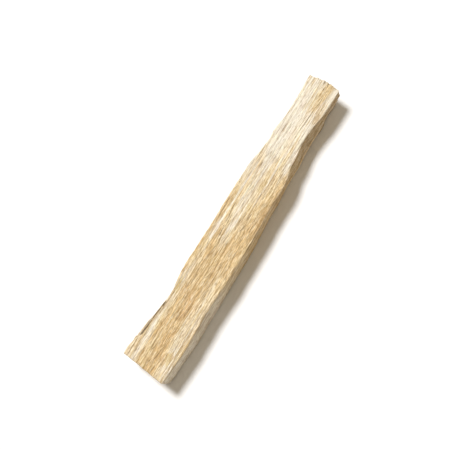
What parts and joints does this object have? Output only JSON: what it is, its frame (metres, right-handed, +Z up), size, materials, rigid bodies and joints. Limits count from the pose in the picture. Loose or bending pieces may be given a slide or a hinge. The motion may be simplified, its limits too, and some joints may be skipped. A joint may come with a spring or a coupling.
{
  "type": "palo santo stick",
  "caption": "Short split length of pale aromatic wood, near rectangular in section and tapering along its grain, lit and set to smoulder as incense.",
  "frame": {"origin": "middle of the underside of the bounding box, on the surface that the stick lies on", "axes": "+Y along the grain towards the narrower far end, +X across to the lower right side face of the picture, +Z up through the grain face"},
  "size_m": [0.015, 0.1002, 0.0082],
  "materials": {
    "palo_santo_wood": "raw split wood, dry and matt"
  },
  "bodies": {
    "root": {"stick": "palo_santo_wood"}
  },
  "joints": []
}
